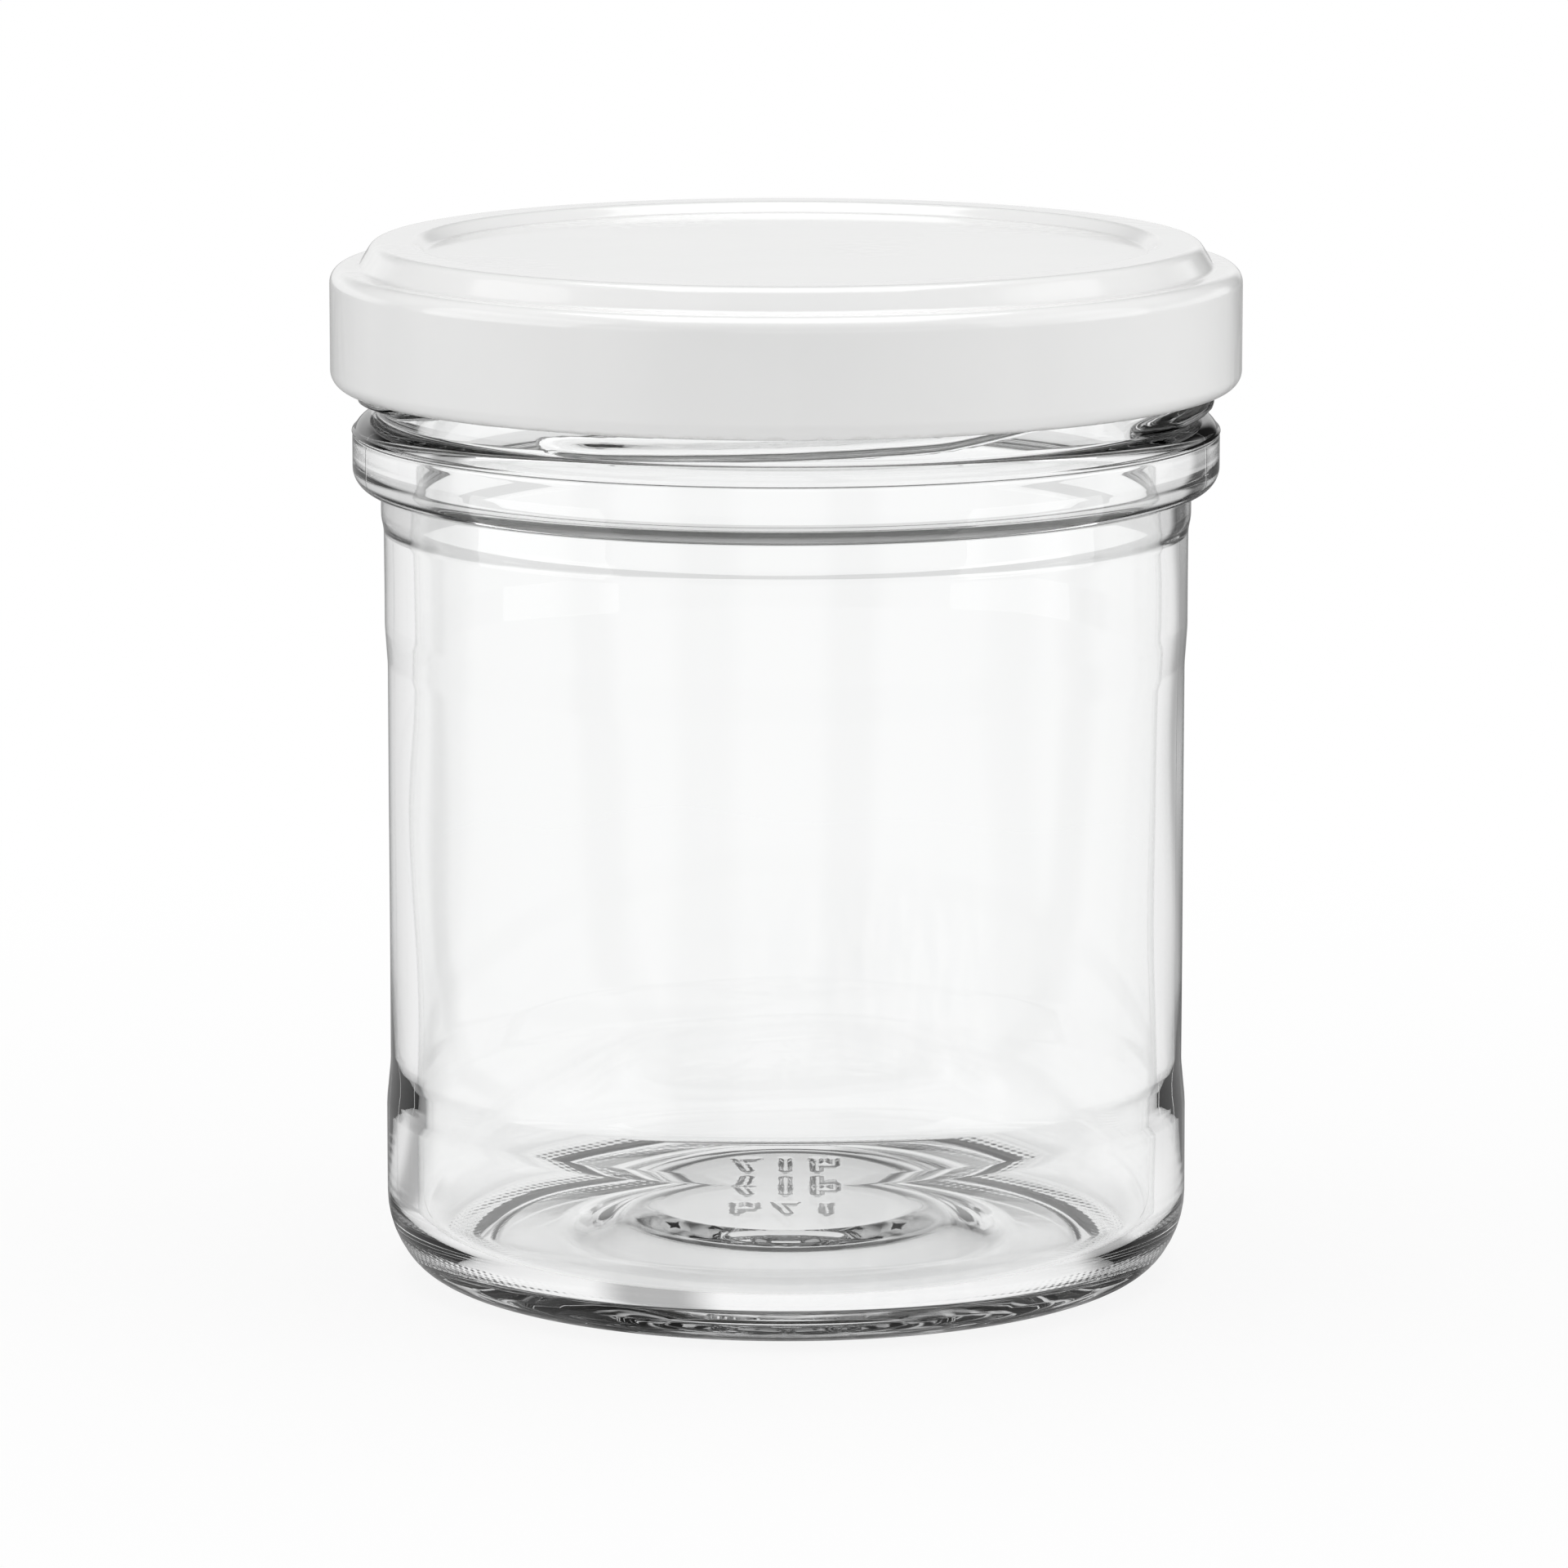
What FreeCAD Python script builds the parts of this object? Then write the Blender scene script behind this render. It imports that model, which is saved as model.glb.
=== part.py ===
"""Small straight-sided canning jar of clear pressed glass, closed with a twist-off lid.

The jar is one piece of glass: a push-up base, a rounded heel, a straight wall with a
shallow label panel, a carrying bead and a neck with four short threads.  The lid is one
piece of lacquered tinplate with a raised sealing ring, a rolled lower edge and four lugs
that hook under the threads.  Lengths are millimetres, +Z is up, and the origin is on the
ground under the middle of the jar.
"""
import FreeCAD, Part
import math
import os

import Sketcher
from FreeCAD import Placement, Rotation, Vector

os.makedirs("parts", exist_ok=True)
doc = FreeCAD.newDocument("CanningJar")

# ---------------------------------------------------------------- driving sizes
SIZES = {
    # glass: overall, neck and rim
    "jar_height": 79.1,            # ground to the top of the rim
    "neck_radius": 31.2,           # the lid, the body and the base follow it
    "neck_wall": 2.8,
    "neck_run": 4.5,               # height over which the inside closes to the neck's bore
    "neck_round": 8.0,
    "rim_round": 0.9,
    # glass: straight wall, label panel and ledge
    "body_under_neck": 0.2,        # the straight wall lies this much inside the neck
    "wall": 2.3,
    "panel_recess": 0.3,           # the label panel lies this much under the heel wall
    "shoulder_recess": 0.1,        # the wall above the panel lies this much under it
    "panel_low": 13.3,
    "panel_under_ledge": 8.0,
    "panel_run": 3.0,              # height of the soft step at each end of the panel
    "panel_round": 6.0,
    "ledge_under_bead": 2.6,
    "ledge_step": 0.2,             # the band under the bead stands this much over that wall
    # glass: carrying bead
    "bead_under_lid": 2.2,
    "bead_height": 5.7,
    "bead_overhang": 2.25,         # bead over the straight wall
    "bead_round": 1.75,
    "bead_foot_round": 0.25,
    "inside_under_bead": 3.1,      # the inside begins to close this far under the bead
    # glass: heel and base
    "heel_inset": 2.67,            # the heel's two flats meet the ground this far in
    "heel_rise": 3.94,             # and the wall this far up
    "heel_lower_round": 4.39,
    "heel_upper_round": 7.3,
    "bearing_width": 3.75,         # heel corner to the inner edge of the standing ring
    "bearing_round": 1.2,
    "pushup_height": 2.6,          # hollow under the base, at its flat middle
    "pushup_rim_drop": 1.9,        # its rim, beside the standing ring, lies this much lower
    "pushup_rim_inset": 2.0,
    "pushup_rim_round": 3.0,
    "pushup_land": 6.58,           # width of the nearly level part inside that rim
    "pushup_land_rise": 0.2,
    "pushup_step_run": 4.5,        # width of the slope from there up to the flat middle
    "base_thickness": 2.3,         # glass between the push-up and the inside floor
    "floor_drop": 1.8,             # the floor falls this much round its raised middle
    "floor_land": 11.7,            # width of its level part, from the wall
    "floor_step_run": 6.0,         # width of the slope from there up to the middle
    "floor_round": 3.2,
    "step_low_round": 6.0,
    "step_high_round": 8.0,
    # glass: threads
    "thread_count": 4,             # evenly spaced round the neck
    "thread_height": 1.6,          # thread crest over the neck
    "thread_foot": 1.2,            # width where it leaves the neck
    "thread_crest": 0.5,
    "thread_root": 0.6,            # how deep the sweep starts inside the neck wall
    "knee_under_lid": 0.55,        # the thread's slope changes this far under the lid's edge
    "knee_angle": 21.0,            # and here round the neck, from +X
    "low_run_pitch": 7.2,          # rise per turn of the flat, locking run
    "low_run_height": 1.1,
    "steep_run_pitch": 28.0,       # rise per turn of the entry run
    "steep_run_height": 3.5,
    # glass: raised mould number under the base
    "mark_relief": 0.25,
    "mark_stroke": 0.7,
    "mark_digit_width": 2.0,
    "mark_digit_height": 4.2,
    "mark_digit_gap": 1.2,
    "mark_row_pitch": 6.8,
    "mark_lean": 0.5,              # the foot of a 7 lies this far in
    "mark_margin": 0.01,           # keeps the first digit off the sketch's own axis
    # lid
    "lid_depth": 10.1,             # rim down to the lid's lower edge
    "thread_clearance": 0.3,       # thread crest to the lid's rolled edge
    "sheet": 0.25,
    "ring_over_rim": 0.9,          # top of the sealing ring over the glass rim
    "ring_over_panel": 0.8,
    "ring_over_shoulder": 1.85,
    "panel_inset": 3.6,            # flat middle of the lid, inside the neck's outer wall
    "ring_inner_run": 0.9,
    "ring_over_neck": 0.4,         # edge of the ring's flat top, outside the neck
    "ring_outer_run": 1.15,
    "ring_inner_round": 0.8,
    "ring_outer_round": 1.0,
    "ring_foot_round": 0.5,
    "lid_corner_round": 1.2,
    "curl_width": 1.8,             # rolled lower edge, outside to inside
    "curl_height": 1.4,
    "curl_outer_round": 1.3,
    "curl_inner_round": 0.4,
    "compound_inside_bore": 0.1,   # inner edge of the sealing compound
    "compound_over_neck": 0.67,    # its outer edge
    "lug_count": 4,
    "lug_clearance": 0.8,          # inner end of each lug to the neck
    "lug_low": 0.05,               # over the lid's lower edge
    "lug_height": 0.85,
    "lug_angle": 12.0,
    "lug_past_knee": 36.0,         # middle of a lug, round from the thread's knee
}

sheet = doc.addObject("Spreadsheet::Sheet", "Sizes")
for row, (name, number) in enumerate(SIZES.items(), start=1):
    sheet.set(f"A{row}", name)
    sheet.set(f"B{row}", str(number))
    sheet.setAlias(f"B{row}", name)
doc.recompute()


class Size:
    """A length worked out from the sheet: its number now and the expression behind it."""

    def __init__(self, number, text):
        self.number = number
        self.text = text

    def combine(self, sign, other, number):
        text = other.text if isinstance(other, Size) else repr(other)
        return Size(number, f"({self.text} {sign} {text})")

    def __add__(self, other):
        return self.combine("+", other, self.number + value_of(other))

    def __sub__(self, other):
        return self.combine("-", other, self.number - value_of(other))

    def __mul__(self, other):
        return self.combine("*", other, self.number * value_of(other))

    def __truediv__(self, other):
        return self.combine("/", other, self.number / value_of(other))


def value_of(length):
    """The plain number of a Size, or of a number."""
    return length.number if isinstance(length, Size) else float(length)


def size(name):
    """The named driving size."""
    return Size(float(SIZES[name]), f"Sizes.{name}")


def new_body(label):
    """An empty PartDesign body whose Label is the node's name."""
    body = doc.addObject("PartDesign::Body", label + "_body")
    body.Label = label
    return body


def origin_feature(body, role):
    """The body's own origin plane or axis with this role."""
    return next(item for item in body.Origin.OriginFeatures if item.Role == role)


def new_sketch(body, name, role, offset=None):
    """A sketch lying on one of the body's origin planes."""
    sketch = body.newObject("Sketcher::SketchObject", name)
    sketch.AttachmentSupport = [(origin_feature(body, role), "")]
    sketch.MapMode = "FlatFace"
    if offset is not None:
        sketch.AttachmentOffset = offset
    return sketch


def dimension(sketch, kind, arguments, length):
    """Add one dimension and tie it to the sheet."""
    index = sketch.addConstraint(Sketcher.Constraint(kind, *arguments, value_of(length)))
    if isinstance(length, Size):
        sketch.setExpression(f"Constraints[{index}]", length.text)


def pin_point(sketch, geometry, position, across, up):
    """Fix a point of the sketch at two lengths from the origin; None means on the axis."""
    if across is None:
        sketch.addConstraint(Sketcher.Constraint("PointOnObject", geometry, position, -2))
    else:
        dimension(sketch, "DistanceX", (-1, 1, geometry, position), across)
    if up is None:
        sketch.addConstraint(Sketcher.Constraint("PointOnObject", geometry, position, -1))
    else:
        dimension(sketch, "DistanceY", (-1, 1, geometry, position), up)


def rounded_outline(sketch, corners):
    """Draw a closed outline through corners (across, up, round), each rounded or sharp.

    Every corner is a pinned point, so the straight lines run through the corner points
    and each arc is tangent to the two lines that meet there.
    """
    count = len(corners)
    points = [Vector(0 if across is None else value_of(across),
                     0 if up is None else value_of(up), 0) for across, up, _ in corners]
    rounds = [0 if radius is None else value_of(radius) for _, _, radius in corners]
    leave, enter, centres = [], [], []
    for k, corner in enumerate(points):
        back = (points[k - 1] - corner).normalize()
        ahead = (points[(k + 1) % count] - corner).normalize()
        half_turn = back.getAngle(ahead) / 2
        reach = rounds[k] / math.tan(half_turn)
        enter.append(corner + back * reach)
        leave.append(corner + ahead * reach)
        middle = (back + ahead).normalize() if rounds[k] else Vector()
        centres.append(corner + middle * (rounds[k] / math.sin(half_turn)))
    lines = [sketch.addGeometry(Part.LineSegment(leave[k], enter[(k + 1) % count]), False)
             for k in range(count)]
    for k, (across, up, radius) in enumerate(corners):
        before, after = lines[k - 1], lines[k]
        if radius is None:
            sketch.addConstraint(Sketcher.Constraint("Coincident", before, 2, after, 1))
            pin_point(sketch, after, 1, across, up)
            continue
        corner = sketch.addGeometry(Part.Point(points[k]), True)
        pin_point(sketch, corner, 1, across, up)
        sketch.addConstraint(Sketcher.Constraint("PointOnObject", corner, 1, before))
        sketch.addConstraint(Sketcher.Constraint("PointOnObject", corner, 1, after))
        start = math.atan2(enter[k].y - centres[k].y, enter[k].x - centres[k].x)
        end = math.atan2(leave[k].y - centres[k].y, leave[k].x - centres[k].x)
        turns_left = (enter[k] - centres[k]).cross(leave[k] - centres[k]).z > 0
        circle = Part.Circle(centres[k], Vector(0, 0, 1), rounds[k])
        first, last = (start, end) if turns_left else (end, start)
        arc = sketch.addGeometry(Part.ArcOfCircle(circle, first, last), False)
        at_enter, at_leave = (1, 2) if turns_left else (2, 1)
        sketch.addConstraint(Sketcher.Constraint("Tangent", before, 2, arc, at_enter))
        sketch.addConstraint(Sketcher.Constraint("Tangent", after, 1, arc, at_leave))
        dimension(sketch, "Radius", (arc,), radius)


def revolve(body, name, sketch):
    """Turn a half section once round the Z axis."""
    feature = body.newObject("PartDesign::Revolution", name)
    feature.Profile = sketch
    feature.ReferenceAxis = (sketch, ["V_Axis"])
    feature.Angle = 360
    return feature


def repeat_round_axis(body, name, originals, count):
    """Repeat features evenly round the Z axis."""
    doc.recompute()
    pattern = body.newObject("PartDesign::PolarPattern", name)
    pattern.Originals = originals
    pattern.Axis = (origin_feature(body, "Z_Axis"), [""])
    pattern.Angle = 360
    pattern.Occurrences = int(SIZES[count])
    pattern.setExpression("Occurrences", f"Sizes.{count}")
    body.Tip = pattern
    return pattern


def turned_half_plane(angle):
    """Offset that swings a sketch on the XZ plane round the Z axis, in degrees."""
    return Placement(Vector(), Rotation(Vector(0, 1, 0), value_of(angle)))


# ---------------------------------------------------------------- what both pieces share
jar_height = size("jar_height")
neck_radius = size("neck_radius")
bore_radius = neck_radius - size("neck_wall")
body_radius = neck_radius - size("body_under_neck")
pushup_height = size("pushup_height")
ring_top = jar_height + size("ring_over_rim")
lid_low = jar_height - size("lid_depth")
thread_knee = lid_low - size("knee_under_lid")


# ---------------------------------------------------------------- jar
def jar_half_section(sketch):
    """Section of the glass from the axis outwards, base first, then wall, neck and back."""
    heel_corner = body_radius - size("heel_inset")
    bearing_edge = heel_corner - size("bearing_width")
    pushup_rim = bearing_edge - size("pushup_rim_inset")
    rim_height = pushup_height - size("pushup_rim_drop")
    pushup_foot = pushup_rim - size("pushup_land")
    step_low, step_high = size("step_low_round"), size("step_high_round")
    panel_radius = body_radius - size("panel_recess")
    shoulder_radius = body_radius - size("shoulder_recess")
    band_radius = shoulder_radius + size("ledge_step")
    bead_radius = body_radius + size("bead_overhang")
    bead_high = lid_low - size("bead_under_lid")
    bead_low = bead_high - size("bead_height")
    ledge = bead_low - size("ledge_under_bead")
    panel_low, panel_high = size("panel_low"), ledge - size("panel_under_ledge")
    panel_run, panel_round = size("panel_run"), size("panel_round")
    inner_radius = body_radius - size("wall")
    inside_top = bead_low - size("inside_under_bead")
    floor = pushup_height + size("base_thickness")
    floor_low = floor - size("floor_drop")
    floor_foot = inner_radius - size("floor_land")
    rounded_outline(sketch, [
        (None, pushup_height, None),
        (pushup_foot - size("pushup_step_run"), pushup_height, step_high),
        (pushup_foot, rim_height + size("pushup_land_rise"), step_low),
        (pushup_rim, rim_height, size("pushup_rim_round")),
        (bearing_edge, None, size("bearing_round")),
        (heel_corner, None, size("heel_lower_round")),
        (body_radius, size("heel_rise"), size("heel_upper_round")),
        (body_radius, panel_low, panel_round),
        (panel_radius, panel_low + panel_run, panel_round),
        (panel_radius, panel_high - panel_run, panel_round),
        (shoulder_radius, panel_high, panel_round),
        (shoulder_radius, ledge, None),
        (band_radius, ledge, None),
        (band_radius, bead_low, size("bead_foot_round")),
        (bead_radius, bead_low, size("bead_round")),
        (bead_radius, bead_high, size("bead_round")),
        (neck_radius, bead_high, size("bead_foot_round")),
        (neck_radius, jar_height, size("rim_round")),
        (bore_radius, jar_height, size("rim_round")),
        (bore_radius, inside_top + size("neck_run"), size("neck_round")),
        (inner_radius, inside_top, size("neck_round")),
        (inner_radius, floor_low, size("floor_round")),
        (floor_foot, floor_low, step_low),
        (floor_foot - size("floor_step_run"), floor, step_high),
        (None, floor, None),
    ])


def thread_section(sketch):
    """Section of one thread: wide at its foot in the neck wall, narrow at its crest."""
    root = neck_radius - size("thread_root")
    crest = neck_radius + size("thread_height")
    rounded_outline(sketch, [
        (root, thread_knee - size("thread_foot") / 2, None),
        (neck_radius, thread_knee - size("thread_foot") / 2, None),
        (crest, thread_knee - size("thread_crest") / 2, None),
        (crest, thread_knee + size("thread_crest") / 2, None),
        (neck_radius, thread_knee + size("thread_foot") / 2, None),
        (root, thread_knee + size("thread_foot") / 2, None),
    ])


def thread_run(body, name, sketch, pitch, height, downwards):
    """One run of a thread, climbing or falling from the knee between its two slopes."""
    run = body.newObject("PartDesign::AdditiveHelix", name)
    run.Profile = sketch
    run.ReferenceAxis = (sketch, ["V_Axis"])
    run.Mode = "pitch-height-angle"
    run.Pitch = SIZES[pitch]
    run.Height = SIZES[height]
    run.setExpression("Pitch", f"Sizes.{pitch}")
    run.setExpression("Height", f"Sizes.{height}")
    run.LeftHanded = False
    run.Reversed = downwards
    return run


def digit_one(left, low):
    """Corners of a 1, from its lower left."""
    stroke, tall = size("mark_stroke"), size("mark_digit_height")
    near = left + (size("mark_digit_width") - stroke) / 2
    return [(near, low), (near + stroke, low), (near + stroke, low + tall), (near, low + tall)]


def digit_four(left, low):
    """Corners of an open 4, from the foot of its upright."""
    stroke, tall = size("mark_stroke"), size("mark_digit_height")
    right = left + size("mark_digit_width")
    bar = low + tall / 2
    return [(right - stroke, low), (right, low), (right, low + tall), (right - stroke, low + tall),
            (right - stroke, bar), (left + stroke, bar), (left + stroke, low + tall),
            (left, low + tall), (left, bar - stroke), (right - stroke, bar - stroke)]


def digit_seven(left, low):
    """Corners of a 7, from the foot of its leaning leg."""
    stroke, tall = size("mark_stroke"), size("mark_digit_height")
    right, foot = left + size("mark_digit_width"), left + size("mark_lean")
    return [(foot, low), (foot + stroke, low), (right, low + tall - stroke), (right, low + tall),
            (left, low + tall), (left, low + tall - stroke), (right - stroke, low + tall - stroke)]


def sharp(corners):
    """Corners with no rounding."""
    return [(across, up, None) for across, up in corners]


def mark_outlines(sketch):
    """Two rows of plain numerals over a bar, drawn from the bar's lower left."""
    stroke, pitch = size("mark_stroke"), size("mark_row_pitch")
    wide = size("mark_digit_width") * 3 + size("mark_digit_gap") * 2
    rounded_outline(sketch, [(None, None, None), (wide, None, None),
                             (wide, stroke, None), (None, stroke, None)])
    rows = [(digit_one, digit_seven, digit_four), (digit_four, digit_one, digit_seven)]
    for row, digits in enumerate(rows, start=1):
        for column, digit in enumerate(digits):
            left = (size("mark_digit_width") + size("mark_digit_gap")) * column
            rounded_outline(sketch, sharp(digit(left + size("mark_margin"), pitch * row)))


def make_jar():
    """The glass, turned round its axis, with its threads and the number under the base."""
    body = new_body("jar")
    section = new_sketch(body, "GlassSection", "XZ_Plane")
    jar_half_section(section)
    revolve(body, "Glass", section)
    knee = new_sketch(body, "ThreadSection", "XZ_Plane", turned_half_plane(size("knee_angle")))
    thread_section(knee)
    low = thread_run(body, "LockingRun", knee, "low_run_pitch", "low_run_height", True)
    steep = thread_run(body, "EntryRun", knee, "steep_run_pitch", "steep_run_height", False)
    repeat_round_axis(body, "Threads", [low, steep], "thread_count")
    mark = new_sketch(body, "BaseMark", "XY_Plane", Placement(Vector(), Rotation(Vector(0, 1, 0), 180)))
    half_width = (size("mark_digit_width") * 3 + size("mark_digit_gap") * 2) / 2
    half_height = (size("mark_row_pitch") * 2 + size("mark_digit_height")) / 2
    mark.setExpression(".AttachmentOffset.Base.x", half_width.text)
    mark.setExpression(".AttachmentOffset.Base.y", "-" + half_height.text)
    mark.setExpression(".AttachmentOffset.Base.z", (pushup_height + size("mark_relief")).text)
    mark_outlines(mark)
    pad = body.newObject("PartDesign::Pad", "BaseNumber")
    pad.Profile = mark
    pad.setExpression("Length", (size("mark_relief") * 2).text)
    body.Tip = pad
    body.Placement = Placement(Vector(0, 0, 0), Rotation())
    return body


# ---------------------------------------------------------------- lid
curl_inner = neck_radius + size("thread_height") + size("thread_clearance")
lid_radius = curl_inner + size("curl_width")


def lid_half_section(sketch):
    """Section of the tinplate with its sealing compound, top side out, then back inside."""
    sheet_wall = size("sheet")
    panel_radius = neck_radius - size("panel_inset")
    panel = ring_top - size("ring_over_panel")
    shoulder = ring_top - size("ring_over_shoulder")
    ring_outer = neck_radius + size("ring_over_neck")
    ring_foot = ring_outer + size("ring_outer_run")
    curl_top = lid_low + size("curl_height")
    seat_inner = bore_radius - size("compound_inside_bore")
    seat_outer = neck_radius + size("compound_over_neck")
    rounded_outline(sketch, [
        (None, panel, None),
        (panel_radius, panel, size("ring_foot_round")),
        (panel_radius + size("ring_inner_run"), ring_top, size("ring_inner_round")),
        (ring_outer, ring_top, size("ring_outer_round")),
        (ring_foot, shoulder, size("ring_foot_round")),
        (lid_radius, shoulder, size("lid_corner_round")),
        (lid_radius, lid_low, size("curl_outer_round")),
        (curl_inner, lid_low, size("curl_inner_round")),
        (curl_inner, curl_top, None),
        (curl_inner + sheet_wall, curl_top, None),
        (curl_inner + sheet_wall, lid_low + sheet_wall, size("curl_inner_round") - sheet_wall),
        (lid_radius - sheet_wall, lid_low + sheet_wall, size("curl_outer_round") - sheet_wall),
        (lid_radius - sheet_wall, shoulder - sheet_wall, size("lid_corner_round") - sheet_wall),
        (ring_foot - sheet_wall / 2, shoulder - sheet_wall, None),
        (seat_outer, jar_height, None),
        (seat_inner, jar_height, None),
        (seat_inner - sheet_wall, panel - sheet_wall, None),
        (None, panel - sheet_wall, None),
    ])


def lug_section(sketch):
    """Section of one lug, rooted in the rolled lower edge."""
    inner = neck_radius + size("lug_clearance")
    outer = curl_inner + size("sheet") / 2
    low = lid_low + size("lug_low")
    high = low + size("lug_height")
    rounded_outline(sketch, sharp([(inner, low), (outer, low), (outer, high), (inner, high)]))


def make_lid():
    """The tinplate lid with its rolled edge and the lugs pressed out of it."""
    body = new_body("lid")
    section = new_sketch(body, "LidSection", "XZ_Plane")
    lid_half_section(section)
    revolve(body, "Tinplate", section)
    lug_angle = size("knee_angle") + size("lug_past_knee")
    lug_sketch = new_sketch(body, "LugSection", "XZ_Plane", turned_half_plane(lug_angle))
    lug_section(lug_sketch)
    lug = body.newObject("PartDesign::Revolution", "Lug")
    lug.Profile = lug_sketch
    lug.ReferenceAxis = (lug_sketch, ["V_Axis"])
    lug.Midplane = True
    lug.setExpression("Angle", "Sizes.lug_angle")
    repeat_round_axis(body, "Lugs", [lug], "lug_count")
    body.Placement = Placement(Vector(0, 0, 0), Rotation())
    return body


# ---------------------------------------------------------------- build, check and write
nodes = [make_jar(), make_lid()]
doc.recompute()
failed = [item.Name for item in doc.Objects if {"Invalid", "Error"} & set(item.State)]
if failed:
    raise RuntimeError("objects failed: " + ", ".join(failed))
for node in nodes:
    shape = node.Shape
    if shape.isNull() or not shape.isValid() or len(shape.Solids) != 1:
        raise RuntimeError(node.Label + " is not one valid solid")
    box = shape.BoundBox
    print(f"{node.Label}: {shape.Volume / 1000:.2f} cm3, "
          f"{box.XLength:.2f} x {box.YLength:.2f} x {box.ZLength:.2f} mm, low {box.ZMin:.2f}")
    shape.exportStep(f"parts/{node.Label}.step")
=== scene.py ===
# %% [markdown]
# # A canning jar in Blender
#
# The real object is two pieces: a small clear glass preserving jar, and a white lacquered
# twist-off lid screwed down on it.  Both were made in round tools, so nearly everything here
# is a section turned about the jar's own axis.  What keeps such a thing from looking like a
# computer's idea of glass is what breaks the roundness: the four short threads, the number
# pressed under the base, the faint waves of the wall, and the rolled edge of the tinplate.
#
# Lengths are written in millimetres, as a mould maker would, and become metres once, when a
# surface is turned into a mesh.

import math

import bpy
import numpy as np
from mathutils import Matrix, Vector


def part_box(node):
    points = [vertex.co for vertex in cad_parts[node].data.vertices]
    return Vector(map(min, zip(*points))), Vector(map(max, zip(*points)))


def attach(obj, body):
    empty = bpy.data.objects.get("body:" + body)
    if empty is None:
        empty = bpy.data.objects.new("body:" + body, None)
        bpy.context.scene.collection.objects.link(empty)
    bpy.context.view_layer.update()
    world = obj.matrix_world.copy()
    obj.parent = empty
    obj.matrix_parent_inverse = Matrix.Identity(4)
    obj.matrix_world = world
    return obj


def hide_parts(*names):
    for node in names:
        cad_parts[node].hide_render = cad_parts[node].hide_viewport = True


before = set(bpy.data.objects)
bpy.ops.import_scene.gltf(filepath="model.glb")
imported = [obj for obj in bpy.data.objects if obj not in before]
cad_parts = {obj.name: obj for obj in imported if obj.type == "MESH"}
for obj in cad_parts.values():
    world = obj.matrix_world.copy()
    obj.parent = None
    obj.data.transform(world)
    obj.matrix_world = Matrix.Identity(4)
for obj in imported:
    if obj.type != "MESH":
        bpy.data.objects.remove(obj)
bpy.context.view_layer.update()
MM = 0.001

jar_low, jar_high = (np.array(corner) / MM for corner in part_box("jar"))
lid_low, lid_high = (np.array(corner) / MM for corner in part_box("lid"))
print("jar box", jar_low.round(2), jar_high.round(2))
print("lid box", lid_low.round(2), lid_high.round(2))

# %% [markdown]
# ## Drawing a section
#
# A turned piece starts as one line: the outline of its section, drawn from the axis out and
# back to the axis.  A drawing gives it as corners, each with a radius.  It could be drawn as
# a Bezier curve and bevelled by hand, or made of many cut-off cylinders, but the corner list
# is how the tool is really dimensioned, so a radius here is a radius on the real thing.
#
# Long flats need few points.  They do need one close to each end, or the smooth shading of
# the next radius leaks along them and bends what is seen through the glass.

# %% Sections from corners and radii
ARC_TURN = 0.13    # radians an arc turns between two of its points, at most
GUARD = 0.12       # mm from a radius to the first point of the flat beside it
SAME_POINT = 1e-6  # mm between two points that count as one


def section_line(corners):
    """Points of a section given as corners (radius, height, round, spacing after it).

    Each corner is swung off by an arc tangent to its two straight runs: the arc's middle lies
    on the corner's bisector at round / sin(half angle), and its points turn from one tangent
    point to the other about it.  Runs are cut at the given spacing, with a guard near each end.
    """
    points = np.array([corner[:2] for corner in corners], float)
    rounds = np.array([corner[2] for corner in corners], float)
    line = []
    leave = None
    for k, corner in enumerate(points):
        if k in (0, len(points) - 1) or rounds[k] == 0:
            arc = corner[None, :]
        else:
            back = points[k - 1] - corner
            ahead = points[k + 1] - corner
            back, ahead = back / np.hypot(*back), ahead / np.hypot(*ahead)
            half = math.acos(np.clip(back @ ahead, -1, 1)) / 2
            reach = rounds[k] / math.tan(half)
            bisector = (back + ahead) / np.hypot(*(back + ahead))
            middle = corner + bisector * rounds[k] / math.sin(half)
            first, last = corner + back * reach - middle, corner + ahead * reach - middle
            sweep = math.pi - 2 * half
            arc_turn = min(ARC_TURN, corners[k][3] / rounds[k])
            t = np.linspace(0, 1, max(2, int(sweep / arc_turn) + 2))[:, None]
            swung = np.sin((1 - t) * sweep) * first + np.sin(t * sweep) * last
            arc = middle + swung / math.sin(sweep)
        if leave is not None:
            run = np.hypot(*(arc[0] - leave))
            spacing = corners[k - 1][3]
            cuts = np.linspace(0, 1, max(1, math.ceil(run / spacing)) + 1)
            if run > 6 * GUARD and spacing > 2 * GUARD:
                cuts = np.union1d(cuts, [GUARD / run, 1 - GUARD / run])
            line.append(leave + (arc[0] - leave) * cuts[1:-1, None])
        line.append(arc)
        leave = arc[-1]
    line = np.concatenate(line)
    apart = np.hypot(*np.diff(line, axis=0).T) > SAME_POINT
    return line[np.append(True, apart)]


# %% [markdown]
# ## Turning a section into a surface
#
# The section is one parameter of the surface and the turn about the axis is the other.
# Blender's Screw modifier would do the turning, but then threads and numerals could not be
# raised from the same skin.  With the points as arrays, a relief is just a number added to
# each point's radius or height before the mesh is made.
#
# A finish also has to know which side of a piece it lies on.  A second material could be
# given to those faces, but its border would be a hard line.  Here each row of the surface
# carries a number instead, and the material reads it and can fade across it.

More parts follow.
